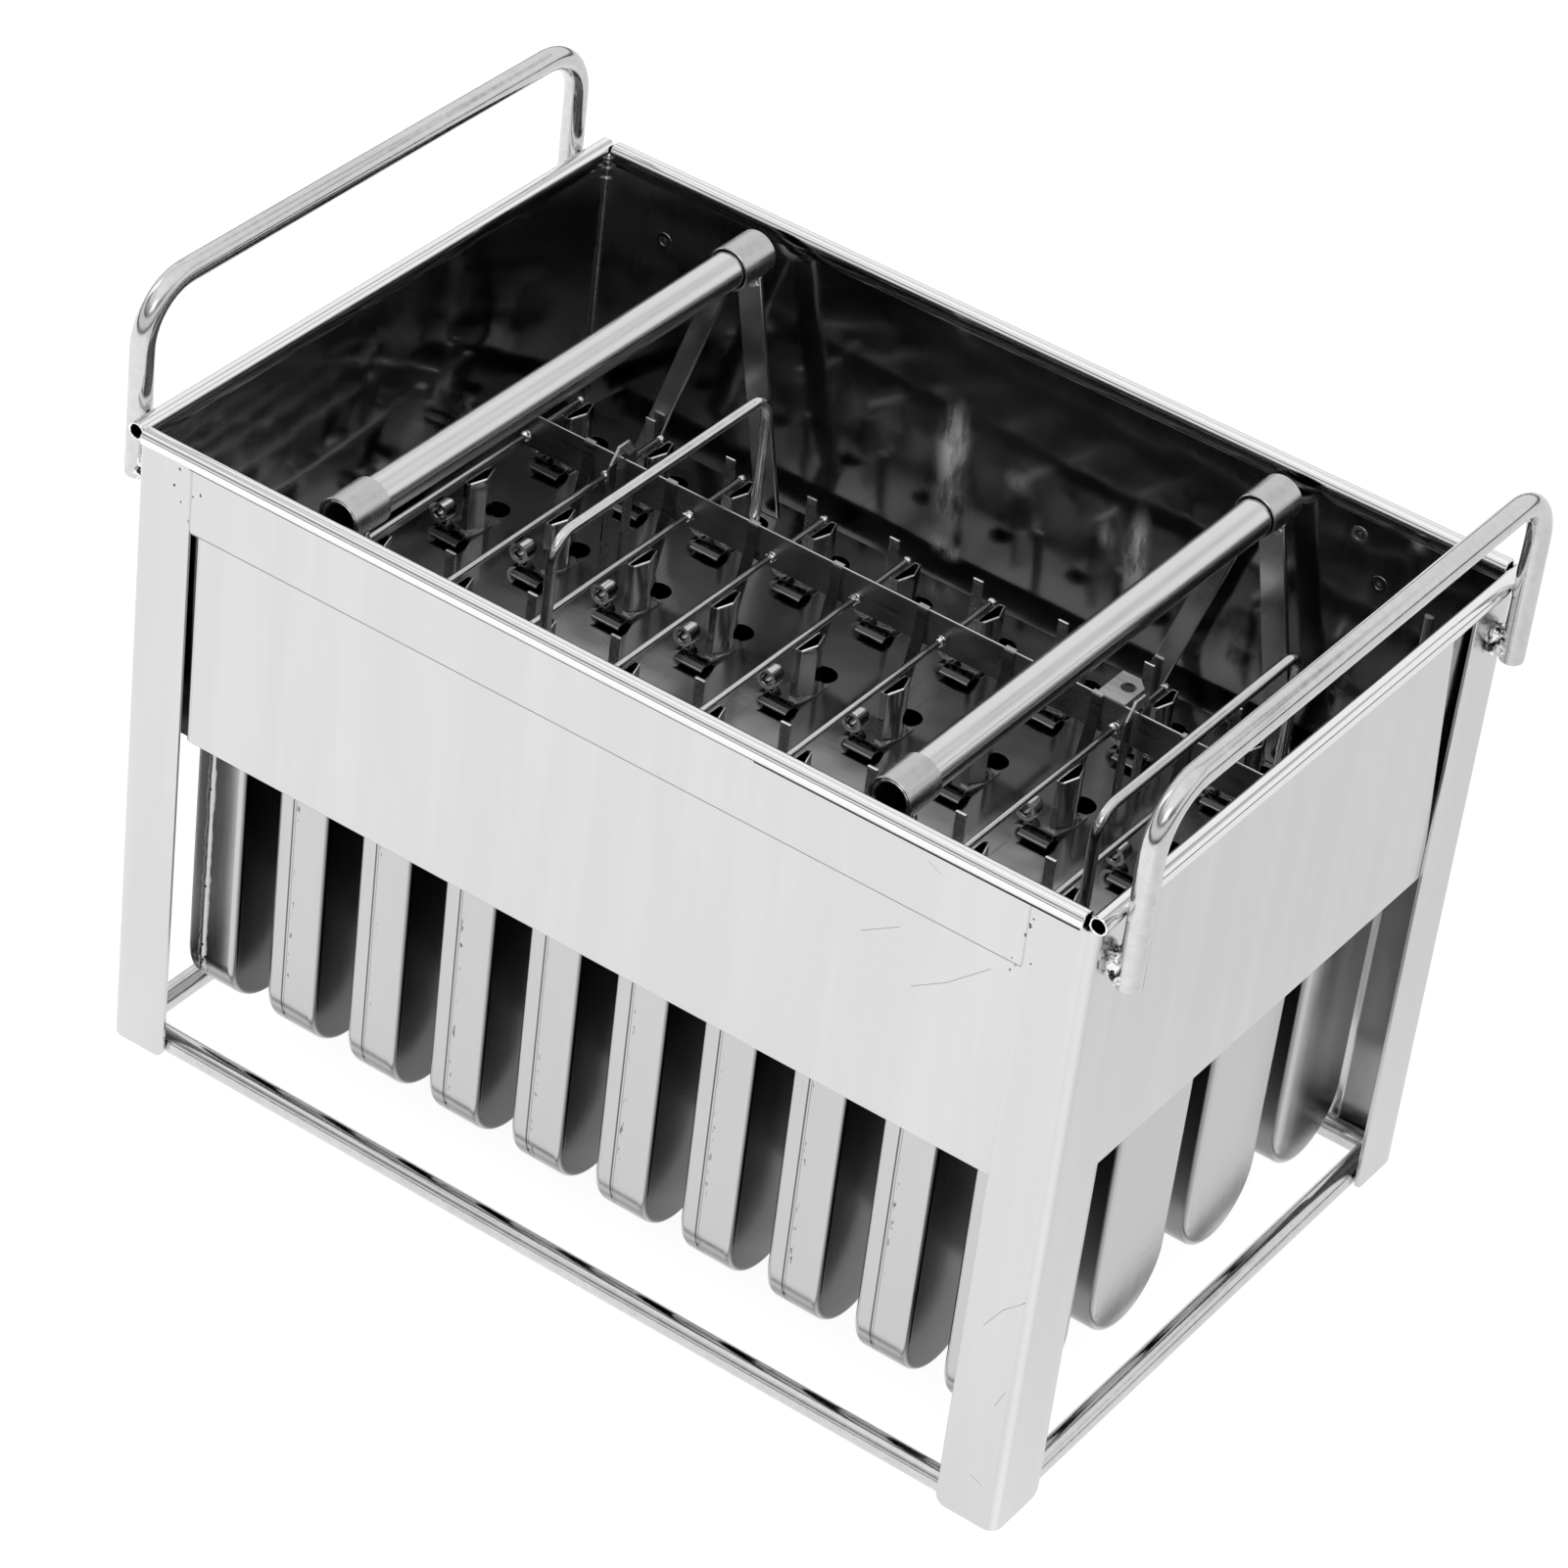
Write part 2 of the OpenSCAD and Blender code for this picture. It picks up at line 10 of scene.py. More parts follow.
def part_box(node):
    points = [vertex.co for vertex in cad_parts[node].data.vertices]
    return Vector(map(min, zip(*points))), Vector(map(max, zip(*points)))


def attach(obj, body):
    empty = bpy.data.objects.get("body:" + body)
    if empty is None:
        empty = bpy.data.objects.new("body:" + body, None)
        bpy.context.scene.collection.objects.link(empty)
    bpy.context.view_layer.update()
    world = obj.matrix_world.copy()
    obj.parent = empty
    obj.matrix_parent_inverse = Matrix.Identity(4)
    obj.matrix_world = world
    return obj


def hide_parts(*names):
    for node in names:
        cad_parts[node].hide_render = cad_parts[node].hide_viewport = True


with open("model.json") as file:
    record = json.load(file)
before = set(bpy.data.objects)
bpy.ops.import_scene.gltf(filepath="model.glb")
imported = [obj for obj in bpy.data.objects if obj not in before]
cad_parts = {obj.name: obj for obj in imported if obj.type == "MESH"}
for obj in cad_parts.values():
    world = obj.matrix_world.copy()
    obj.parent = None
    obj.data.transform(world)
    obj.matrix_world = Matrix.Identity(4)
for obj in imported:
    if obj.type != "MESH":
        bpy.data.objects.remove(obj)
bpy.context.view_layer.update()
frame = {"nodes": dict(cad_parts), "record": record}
NODE = frame["nodes"]
SLOT_OF = {part["node"]: part["material_slot"] for part in frame["record"]["subparts"]}
BODY_OF = {node: body for body, nodes in frame["record"]["behaviour"]["bodies"].items()
           for node in nodes}

# Sizes of the mold, in millimetres

PITCH_X, PITCH_Y = 34.85, 56.3
COLUMNS = [(i - 4.5) * PITCH_X for i in range(10)]
MIDDLES = [(i - 4) * PITCH_X for i in range(9)]
ROWS = [(j - 1.5) * PITCH_Y for j in range(4)]
CORNERS = [(a, b) for a in (-1, 1) for b in (-1, 1)]
LEFT_RIGHT = (("left", -1), ("right", 1))
FRONT_REAR = (("front", -1), ("rear", 1))
PLATE_TOP = 147.0
# Outer faces of legs, front panel and rim band; inside corners of the basin; inner rear wall
LEG_X, LEG_Y = 184.0, 124.0
PANEL_Y = -1000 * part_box("panel_front")[0].y
BAND_Y, BAND_FOOT, PANEL_TOP = 123.95, 218.62, 218.3
CORNER_X, CORNER_Y = 180.5, 120.5
REAR_WALL_Y = 120.8
# Height of the painted shadow beads in the gap between the hem and the sheets below it
HEM_GAP_SHADOW_Z = 242.5
# Basin walls: gauge, foot, top behind the legs, then foot and top of the strip inside the hem
WALL_SHEET, WALL_FOOT, WALL_TOP, LIP_FOOT, LIP_TOP = 0.8, 137, 243.0, 242.5, 246.8
# Outer face of a wall, middle of its hem, half length of the wall and of the hem
LONG_SIDE = (121.5, 123.95, 181.5, 180.2)
SHORT_SIDE = (181.5, 183.95, 120.7, 124.45)
HEM_Z, HEM_OUTER, HEM_BORE = 246.75, 3.24, 2.45
# Round rods: carry handles and base rails, squeeze handles, cross rods of the clamp
ROD_RADIUS, RAIL_Z = 4.25, 4.25
CARRY_X, CARRY_Y, CARRY_FOOT, CARRY_RISE, CARRY_BEND, CARRY_SPAN = 191.7, 113.5, 222, 47.5, 20, 187
SQUEEZE_X = {"left": -65.05, "right": 144.05}
SQUEEZE_RADIUS, SQUEEZE_Y, SQUEEZE_FOOT = 2.0, 58.85, 168
SQUEEZE_RISE, SQUEEZE_BEND, SQUEEZE_SPAN = 53, 9, 99.7
CROSS_RADIUS, CROSS_SHIFT, CROSS_Z, CROSS_START, CROSS_LENGTH = 1.25, 2, 171, -87, 172.5
# Grip tubes: place in x, reach to the front and to the rear
TUBES = {"left": (-109.5, 114.0, 111.0), "right": (101.5, 112.5, 112.0)}
TUBE_Z, COLLAR_LENGTH = 243, 17

# Marks on the sheets and painted highlight patches, in millimetres

# Painted highlight patches on the rear wall: middle x and z, half width and half height, strength
HIGHLIGHT_PATCHES = [(-28, 195, 7, 20, 1.0), (-26, 175, 9, 14, 0.5), (-25, 156, 7, 5, 1.0),
           (48, 187, 5.5, 20, 1.0), (-1, 195, 6, 5, 0.35), (36, 191, 4, 6, 0.45),
           (89, 172, 6, 15, 0.35)]
# Spot-weld dimples on the rear wall: x and z
DIMPLES = [(127.5, 235.9), (137.8, 221.1), (-153.9, 223.0)]
# Fine scratches on the front panel, the front right leg and the rim band
SCRATCHES = [[(104, -PANEL_Y, 200.5), (117, -PANEL_Y, 209)],
             [(124, -PANEL_Y, 190), (136, -PANEL_Y, 198), (150, -PANEL_Y, 211)],
             [(168, -LEG_Y, 80), (174, -LEG_Y, 90), (181, -LEG_Y, 97)],
             [(176.5, -LEG_Y, 51), (179.5, -LEG_Y, 59)],
             [(172, -LEG_Y, 19), (177, -LEG_Y, 17)],
             [(124.5, -LEG_Y, 239), (129.5, -LEG_Y, 236.5)]]
# Weld lumps from a leg to the carry handle's foot: middle and half sizes
CARRY_LUMPS = [((186.0, 113.5, 227.5), (2.9, 3.7, 4.2)), ((189.0, 111.8, 226.0), (3.0, 3.4, 3.2)),
               ((187.0, 115.6, 229.5), (2.6, 2.4, 3.4)), ((189.4, 115.2, 224.6), (2.4, 2.6, 2.6)),
               ((186.2, 110.4, 230.5), (2.0, 1.8, 2.4)), ((185.2, 112.6, 223.4), (1.9, 2.6, 1.8))]
CARRY_PITS = [(187.6, 109.9, 227.6), (185.4, 110.2, 225.2), (189.9, 110.6, 228.8),
              (186.4, 110.4, 232.2), (187.4, 117.4, 226.4)]
# Blender seeds noise vectors from the clock; this seed keeps the weld pits where they are
PIT_SEED = 1795602468

# Camera and lights, in metres and degrees

CAMERA_PLACE = (0.8002, -1.3213, 1.2834)
CAMERA_TURN, CAMERA_TILT, CAMERA_LEAN = 31.331, 36.67, 7.351
SENSOR, LENS, FAR_END = 36.0, 133.81, 50.0
LAMP_AIM = (0, 0, 0.2)
FLOOR_HALF, FLOOR_DROP, FLOOR_TONE, FLOOR_GLOW = 9.0, 0.0004, 0.30, 0.90
WHITE = (1, 1, 1, 1)
# Noise seldom leaves this range, and no finish is smoother or rougher than these limits
NOISE_RANGE = (0.3, 0.7)
SMOOTHEST, ROUGHEST = 0.04, 0.95


# Helpers that build pieces in millimetres

def moved(x, y, z):
    return Matrix.Translation((x, y, z))


def turned(angle, axis):
    return Matrix.Rotation(math.radians(angle), 4, axis)


SIDES = {"front": Matrix.Identity(4), "rear": turned(180, "Z"),
         "left": turned(-90, "Z"), "right": turned(90, "Z")}


def distinct(items):
    """Each item once, in the order in which they come."""
    return list(dict.fromkeys(items))


def rounded(bm, edges, radius, steps):
    bmesh.ops.bevel(bm, geom=edges, offset=radius, offset_type="OFFSET", segments=steps,
                    affect="EDGES", profile=0.5, material=-1, clamp_overlap=True)


def block(bm, low, high, edge):
    """A bar or sheet between two corners, with its edges rounded by edge."""
    size = [h - l for l, h in zip(low, high)]
    middle = [(l + h) / 2 for l, h in zip(low, high)]
    place = Matrix.Translation(middle) @ Matrix.Diagonal(size + [1])
    made = bmesh.ops.create_cube(bm, size=1, matrix=place)["verts"]
    rounded(bm, distinct(e for v in made for e in v.link_edges), edge, 2)


def ring(bm, outer, inner, length, lip, place, steps=48):
    """A hollow round piece along Z from 0 to length, with its rims eased by lip."""
    outline = [(inner, 0), (outer, 0), (outer, length), (inner, length)]
    if lip:
        outline = [(inner, lip), (inner + lip, 0), (outer - lip, 0), (outer, lip),
                   (outer, length - lip), (outer - lip, length),
                   (inner + lip, length), (inner, length - lip)]
    before = set(bm.verts)
    verts = [bm.verts.new((r, 0, z)) for r, z in outline]
    edges = [bm.edges.new(pair) for pair in zip(verts, verts[1:] + verts[:1])]
    bmesh.ops.spin(bm, geom=verts + edges, cent=(0, 0, 0), axis=(0, 0, 1), dvec=(0, 0, 0),
                   angle=math.tau, steps=steps, use_merge=True, use_duplicate=False)
    fresh = [v for v in bm.verts if v not in before]
    bmesh.ops.remove_doubles(bm, verts=fresh, dist=1e-4)
    bmesh.ops.transform(bm, matrix=place, verts=[v for v in fresh if v.is_valid])


def disc(bm, radius, centre, toward, sides):
    """The round end face that a rod or bead starts from: its corners and its rim."""
    turn = toward.to_track_quat("Z", "Y").to_matrix().to_4x4()
    corners = bmesh.ops.create_circle(bm, cap_ends=True, segments=sides, radius=radius,
                                      matrix=Matrix.Translation(centre) @ turn)["verts"]
    return corners, list(corners[0].link_faces[0].edges)


def drawn(bm, rim, way):
    """Draws a rod on from its open rim: the new corners and the new rim."""
    grown = bmesh.ops.extrude_edge_only(bm, edges=rim)["geom"]
    corners = [g for g in grown if isinstance(g, bmesh.types.BMVert)]
    bmesh.ops.translate(bm, vec=way, verts=corners)
    return corners, [g for g in grown if isinstance(g, bmesh.types.BMEdge)]


def rod(bm, radius, start, toward, route, sides, cap):
    """A bent round rod with eased ends. The route lists ("run", length) and
    ("bend", radius, angle, axis)."""
    toward = Vector(toward).normalized()
    here = Vector(start)
    corners, rim = disc(bm, radius, here, toward, sides)
    made = set(corners)
    for step in route:
        if step[0] == "run":
            way = toward * step[1]
            corners, rim = drawn(bm, rim, way)
            here = here + way
            made |= set(corners)
        else:
            _, bend, angle, axis = step
            axis = Vector(axis).normalized()
            inward = axis.cross(toward) * (1 if angle > 0 else -1)
            centre = here + inward * bend
            before = set(bm.verts)
            last = bmesh.ops.spin(bm, geom=distinct(v for e in rim for v in e.verts) + rim,
                                  cent=centre, axis=axis, dvec=(0, 0, 0),
                                  angle=math.radians(angle), steps=max(4, int(abs(angle) / 9)),
                                  use_duplicate=False)["geom_last"]
            rim = [g for g in last if isinstance(g, bmesh.types.BMEdge)]
            swing = Matrix.Rotation(math.radians(angle), 3, axis)
            here = centre + swing @ (here - centre)
            toward = swing @ toward
            made |= set(bm.verts) - before
    bmesh.ops.contextual_create(bm, geom=rim)
    ends = [f for f in bm.faces if len(f.verts) == sides and all(v in made for v in f.verts)]
    rounded(bm, distinct(e for f in ends for e in f.edges), cap, 3)


def bead(bm, start, end, radius, lumps=0.0, sides=6):
    """A straight bead along a joint; lumps makes it swell and narrow on its way."""
    start, end = Vector(start), Vector(end)
    way = end - start
    rings = min(70, max(2, int(way.length / (radius * 1.4)))) if lumps else 1
    _, rim = disc(bm, radius, start, way, sides)
    for k in range(rings):
        corners, rim = drawn(bm, rim, way / rings)
        if lumps:
            centre = start + way * (k + 1) / rings
            swell = 1 + lumps * noise.noise(centre * 0.9)
            for v in corners:
                v.co = centre + (v.co - centre).normalized() * radius * swell
    bmesh.ops.contextual_create(bm, geom=rim)


def blob(bm, centre, size, rough, seed):
    """A lump of weld metal with an uneven skin."""
    made = bmesh.ops.create_icosphere(bm, subdivisions=3, radius=1.0)["verts"]
    for v in made:
        swell = 1 + rough * noise.noise(v.co * 1.7 + Vector((seed, 2 * seed, -seed)))
        swell += 0.4 * rough * noise.noise(v.co * 5.1 + Vector((seed, 0, seed)))
        v.co = Vector(centre) + Vector([c * s * swell for c, s in zip(v.co, size)])


def hung(name, bm, body, finish, slot, sharp=35, stands_for=()):
    """Makes what was built, in metres, into a smooth piece that rides on a body. Folds
    steeper than sharp degrees stay crisp."""
    mesh = bpy.data.meshes.new(name)
    bm.to_mesh(mesh)
    bm.free()
    for face in mesh.polygons:
        face.use_smooth = True
    mesh.set_sharp_from_angle(angle=math.radians(sharp))
    mesh.materials.append(finish)
    piece = bpy.data.objects.new(name, mesh)
    bpy.context.scene.collection.objects.link(piece)
    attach(piece, body)
    if stands_for:
        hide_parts(*stands_for)
    return piece


def finished(name, bm, body, finish, slot, sharp=35, stands_for=()):
    """Turns the faces outward and brings millimetres to metres before the piece is hung."""
    bmesh.ops.recalc_face_normals(bm, faces=bm.faces)
    bmesh.ops.scale(bm, vec=(0.001, 0.001, 0.001), verts=bm.verts)
    hung(name, bm, body, finish, slot, sharp, stands_for)


# Finishes

class Nodes:
    """The shader nodes of one material or world, each added by a short call."""

    def __init__(self, tree):
        self.tree = tree

    def add(self, kind):
        return self.tree.nodes.new("ShaderNode" + kind)

    def link(self, output, socket):
        self.tree.links.new(output, socket)

    def feed(self, socket, value):
        """A number is set in the socket; another node's output is linked to it."""
        if isinstance(value, (int, float)):
            socket.default_value = value
        else:
            self.link(value, socket)

    def maths(self, kind, a, b=0):
        node = self.add("Math")
        node.operation = kind
        self.feed(node.inputs[0], a)
        self.feed(node.inputs[1], b)
        return node.outputs[0]

    def spread(self, value, low, high, a, b, curve="LINEAR"):
        """Brings values from low to high onto a to b, and holds them at both ends."""
        node = self.add("MapRange")
        node.interpolation_type = curve
        for socket, number in zip(("From Min", "From Max", "To Min", "To Max"), (low, high, a, b)):
            node.inputs[socket].default_value = number
        self.link(value, node.inputs["Value"])
        return node.outputs["Result"]

    def mixed(self, factor, a, b):
        node = self.add("Mix")
        for socket, value in zip(("Factor", "A", "B"), (factor, a, b)):
            self.feed(node.inputs[socket], value)
        return node.outputs["Result"]

    def axes(self, vector):
        node = self.add("SeparateXYZ")
        self.link(vector, node.inputs[0])
        return list(node.outputs)

    def spot(self):
        """The place on the piece, in its own coordinates."""
        return self.add("TexCoord").outputs["Object"]

    def speckle(self, scale, stretch=(1, 1, 1), detail=4.0, rough=0.55, lean=(0, 0, 0)):
        """Noise from 0 to 1; a small stretch draws it out along that axis."""
        mapping = self.add("Mapping")
        mapping.inputs["Rotation"].default_value = lean
        mapping.inputs["Scale"].default_value = stretch
        self.link(self.spot(), mapping.inputs["Vector"])
        tex = self.add("TexNoise")
        tex.inputs["Scale"].default_value = scale
        tex.inputs["Detail"].default_value = detail
        tex.inputs["Roughness"].default_value = rough
        self.link(mapping.outputs["Vector"], tex.inputs["Vector"])
        return tex.outputs["Fac"]

    def bump(self, distance, height):
        node = self.add("Bump")
        node.inputs["Strength"].default_value = 1.0
        node.inputs["Distance"].default_value = distance
        self.link(height, node.inputs["Height"])
        return node


def steel(name, tone, gloss, grain_size, grain_depth, cloud, grain=(1, 1, 1), wave=0.0,
          scratch=0.0, smear=0.0, relief=0.02, grit=0.3, marks_and_painted_light=None, painted_highlights=None):
    """Rolled or polished stainless steel: grain, clouding, buckled sheet, scratches and
    wiped smears. The relief of the grain is in millimetres, the wave of the sheet in metres."""
    mat = bpy.data.materials.new(name)
    mat.use_nodes = True
    nodes = Nodes(mat.node_tree)
    maths, spread, speckle = nodes.maths, nodes.spread, nodes.speckle
    metal = mat.node_tree.nodes["Principled BSDF"]
    metal.inputs["Metallic"].default_value = 1.0
    clouds = speckle(14.0, detail=5.0)
    streaks = speckle(grain_size, grain, detail=3.0)
    rough = maths("ADD", spread(clouds, *NOISE_RANGE, gloss - cloud, gloss + cloud),
                  spread(streaks, *NOISE_RANGE, -grit * gloss, grit * gloss))
    shade = spread(clouds, *NOISE_RANGE, tone * (1 - cloud), tone * (1 + 0.5 * cloud))
    bright = maths("ADD", shade, spread(streaks, 0.35, 0.65, -grain_depth, grain_depth))
    if scratch:
        for lean, size in ((0.5, 60.0), (-0.9, 45.0), (1.4, 80.0)):
            lines = speckle(size * 9, (1.0, 0.035, 1.0), 1.0, 0.5, (lean, lean * 0.7, lean))
            line = spread(lines, 0.74, 0.78, 0.0, scratch)
            bright = maths("SUBTRACT", bright, maths("MULTIPLY", line, 0.35))
            rough = maths("ADD", rough, maths("MULTIPLY", line, 0.4))
    if smear:
        wiped = speckle(60.0, (1, 1, 0.07), detail=3.0)
        bright = maths("ADD", bright, spread(wiped, 0.42, 0.7, -0.3 * smear, smear))
    # marks and painted light multiply the tone: seams and pits, and painted shade and highlights
    if marks_and_painted_light:
        bright = maths("MULTIPLY", bright, marks_and_painted_light(nodes))
    # painted highlights: patches made lighter, rougher and less metallic
    if painted_highlights:
        highlight_amount = painted_highlights(nodes)
        bright = maths("ADD", bright, maths("MULTIPLY", highlight_amount, 0.62))
        rough = maths("ADD", rough, maths("MULTIPLY", highlight_amount, 0.3))
        nodes.link(maths("SUBTRACT", 1.0, highlight_amount), metal.inputs["Metallic"])
    colour = nodes.add("CombineColor")
    for channel in ("Red", "Green", "Blue"):
        nodes.link(bright, colour.inputs[channel])
    nodes.link(colour.outputs["Color"], metal.inputs["Base Color"])
    limit = nodes.add("Clamp")
    limit.inputs["Min"].default_value = SMOOTHEST
    limit.inputs["Max"].default_value = ROUGHEST
    nodes.link(rough, limit.inputs["Value"])
    nodes.link(limit.outputs["Result"], metal.inputs["Roughness"])
    skin = nodes.bump(relief / 1000, streaks)
    if wave:
        buckle = nodes.bump(wave, speckle(22.0, detail=2.0))
        nodes.link(buckle.outputs["Normal"], skin.inputs["Normal"])
    nodes.link(skin.outputs["Normal"], metal.inputs["Normal"])
    return mat


def along_pitch(nodes, value, pitch):
    """How far a place lies from the middle between two columns or rows, in millimetres."""
    share = nodes.maths("FRACT", nodes.maths("MULTIPLY", value, 1000 / pitch))
    return nodes.maths("MULTIPLY", nodes.maths("SUBTRACT", share, 0.5), pitch)


def pocket_seams_and_painted_shade(nodes):
    """Seam lines and pits down the narrow faces of the pockets; painted shade darkens the faces
    that look at a neighbouring pocket."""
    maths, spread, speckle = nodes.maths, nodes.spread, nodes.speckle
    x, y, _ = nodes.axes(nodes.spot())
    facing_x, facing_y, _ = nodes.axes(nodes.add("NewGeometry").outputs["Normal"])
    across = along_pitch(nodes, x, PITCH_X)

    def near(centre, width):
        off = maths("ABSOLUTE", maths("SUBTRACT", across, centre))
        return spread(off, width, width + 0.15, 1.0, 0.0)

    side, ahead = maths("ABSOLUTE", facing_x), maths("ABSOLUTE", facing_y)
    narrow = spread(side, 0.25, 0.4, 1.0, 0.0)
    lines = maths("ADD", maths("MULTIPLY", near(-3.4, 0.26), 0.74),
                  maths("MULTIPLY", near(-2.4, 0.10), 0.40))
    pits = spread(speckle(520.0, (1, 1, 0.5), detail=2.0), 0.57, 0.64, 0.0, 0.65)
    groups = spread(speckle(25.0), 0.38, 0.55, 0.0, 1.0)
    specks = maths("MULTIPLY", pits, maths("MULTIPLY", near(-1.4, 0.5), groups))
    seams = maths("SUBTRACT", 1.0, maths("MULTIPLY", narrow, maths("ADD", lines, specks)))
    between_x = spread(maths("ABSOLUTE", x), 0.1655, 0.1660, 1.0, 0.0)
    between_y = spread(maths("ABSOLUTE", y), 0.1045, 0.1055, 1.0, 0.0)
    # painted shade: pocket faces that look at a neighbouring pocket are darkened
    broad_painted_shade = maths("MULTIPLY", spread(side, 0.55, 0.9, 0.0, 0.84), between_x)
    slim_painted_shade = maths("MULTIPLY", spread(ahead, 0.55, 0.9, 0.0, 0.55), between_y)
    return maths("MULTIPLY", seams, maths("SUBTRACT", 1.0, maths("MAXIMUM", broad_painted_shade, slim_painted_shade)))


def painted_highlight_patches(nodes):
    """Painted highlight patches on the rear wall of the basin: hazy spots made lighter and less
    metallic in place of reflected light.
    """
    maths, spread = nodes.maths, nodes.spread
    place_x, place_y, place_z = nodes.axes(nodes.spot())

    def off(value, centre, half):
        share = maths("DIVIDE", maths("SUBTRACT", value, centre / 1000), half / 1000)
        return maths("POWER", maths("ABSOLUTE", share), 2.0)

    total = 0.0
    for x, z, wide, tall, level in HIGHLIGHT_PATCHES:
        away = maths("ADD", off(place_x, x, wide), off(place_z, z, tall))
        soft = maths("POWER", spread(away, 0.0, 1.6, 1.0, 0.0), 2.0)
        total = maths("MAXIMUM", total, maths("MULTIPLY", soft, level))
    streaky = spread(nodes.speckle(210.0, (1, 1, 0.35), detail=5.0), 0.34, 0.56, 0.12, 1.0)
    rear = spread(place_y, 0.115, 0.117, 0.0, 1.0)
    return maths("MINIMUM", maths("MULTIPLY", total, maths("MULTIPLY", streaky, rear)), 1.0)


def leg_painted_shade_and_highlight(nodes):
    """Painted shade darkens the inner sides of the legs' flanges against the sheet outside, and a
    painted highlight brightens their folds."""
    maths, spread = nodes.maths, nodes.spread
    x, y, _ = nodes.axes(nodes.spot())
    across, deep = maths("ABSOLUTE", x), maths("ABSOLUTE", y)
    inside = maths("MULTIPLY", spread(deep, 0.12375, 0.1238, 1.0, 0.0),
                   spread(deep, 0.119, 0.120, 0.0, 1.0))
    flange = maths("MULTIPLY", spread(across, 0.1615, 0.1620, 0.0, 1.0),
                   spread(across, 0.1806, 0.1810, 1.0, 0.0))
    uneven = spread(nodes.speckle(30.0, (1, 1, 0.3)), 0.35, 0.65, 0.55, 0.8)
    # painted shade on the inner sides of the flanges, made uneven by noise
    shade = maths("MULTIPLY", uneven, maths("MULTIPLY", inside, flange))
    # painted highlight along the legs' outer folds
    fold = maths("MULTIPLY", spread(across, 0.1815, 0.1825, 0.0, 0.14),
                 spread(deep, 0.1212, 0.1222, 0.0, 1.0))
    return maths("ADD", fold, maths("SUBTRACT", 1.0, shade))


def tab_painted_highlight(nodes):
    """The clamp strips are dull; a painted highlight makes the tab bent off the rear one bright.
    """
    z = nodes.axes(nodes.spot())[2]
    # painted highlight: the tab above the strips is made over four times as bright
    return nodes.spread(z, 0.18005, 0.1802, 1.0, 4.3)


def tongue_painted_shade(nodes):
    """Painted shade makes the raised tongues of the clips darker than their channels; their
    front edge is shaded less, so it looks lighter."""
    maths, spread = nodes.maths, nodes.spread
    _, y, z = nodes.axes(nodes.spot())
    along = along_pitch(nodes, y, PITCH_Y)
    low = spread(z, 0.1512, 0.1515, 1.0, 0.0)
    ahead = spread(along, -8.4, -8.2, 1.0, 0.0)
    edge = spread(along, -16.7, -16.5, 1.0, 0.0)
    # painted shade on the tongues, weaker at the front edge
    dark = maths("MULTIPLY", maths("MULTIPLY", low, ahead),
                 maths("SUBTRACT", 0.84, maths("MULTIPLY", edge, 0.5)))
    return maths("SUBTRACT", 1.0, dark)


# the outer sheet carries painted shade inside the legs' flanges and a painted highlight on their
# folds
OUTER = steel("outer_satin_sheet", 0.695, 0.24, 500, 0.0015, 0.012, grain=(0.3, 0.3, 1.0),
              wave=0.00025, scratch=0.03, smear=0.03, relief=0.0006, grit=0.03, marks_and_painted_light=leg_painted_shade_and_highlight)
# the inner sheet carries painted highlight patches on its rear wall
INNER = steel("inner_mirror_sheet", 0.30, 0.14, 700, 0.006, 0.04, grain=(1, 1, 0.06),
              wave=0.0008, scratch=0.10, relief=0.003, grit=0.1, painted_highlights=painted_highlight_patches)
# the pocket sheet carries painted shade on faces that look at a neighbouring pocket
POCKET = steel("pocket_satin_sheet", 0.60, 0.22, 500, 0.005, 0.03, grain=(1, 1, 0.08),
               wave=0.0003, scratch=0.06, relief=0.002, grit=0.08, marks_and_painted_light=pocket_seams_and_painted_shade)
ROD = steel("polished_rod", 0.68, 0.15, 300, 0.03, 0.08, scratch=0.3)
HEM = steel("rolled_hem", 0.90, 0.07, 500, 0.01, 0.02, relief=0.003)
PLATE = steel("holder_sheet", 0.31, 0.15, 700, 0.010, 0.04, grain=(0.05, 1, 1),
              wave=0.0006, scratch=0.12, relief=0.003, grit=0.1)
POST = steel("post_strip", 0.60, 0.22, 700, 0.02, 0.04)
# the clip sheet carries painted shade on its raised tongues
CLIP = steel("clip_strip", 0.46, 0.10, 700, 0.02, 0.04, grain=(1, 1, 0.1), marks_and_painted_light=tongue_painted_shade)
# the clamp strip's bent tab carries a painted highlight
STRIP = steel("clamp_strip", 0.20, 0.34, 600, 0.008, 0.04, grain=(0.05, 1, 1), marks_and_painted_light=tab_painted_highlight)
# the clip curls are made brighter than the clip sheet, as a painted highlight
CURL = steel("clip_curl", 0.80, 0.14, 500, 0.03, 0.05)
TUBE = steel("polished_tube", 0.74, 0.20, 700, 0.005, 0.03, grain=(1, 0.05, 1),
             scratch=0.04, relief=0.002, grit=0.1)
COLLAR = steel("collar_satin", 0.58, 0.27, 250, 0.02, 0.06, scratch=0.2, relief=0.006, grit=0.15)
# bright finish for worked edges, also standing in as painted highlights and glints along them
BRIGHT = steel("bright_edge", 0.95, 0.20, 500, 0.02, 0.02)
WELD = steel("weld_bead", 0.86, 0.13, 500, 0.05, 0.06, wave=0.0003, relief=0.01)
GROUND = steel("ground_weld", 0.62, 0.30, 500, 0.03, 0.05)
# dark finish for the painted shadow lines under the rim bands, and for fine scratches
SHADOW_LINE_AND_SCRATCH = steel("painted_shadow_line_and_scratch", 0.42, 0.35, 500, 0.02, 0.02)
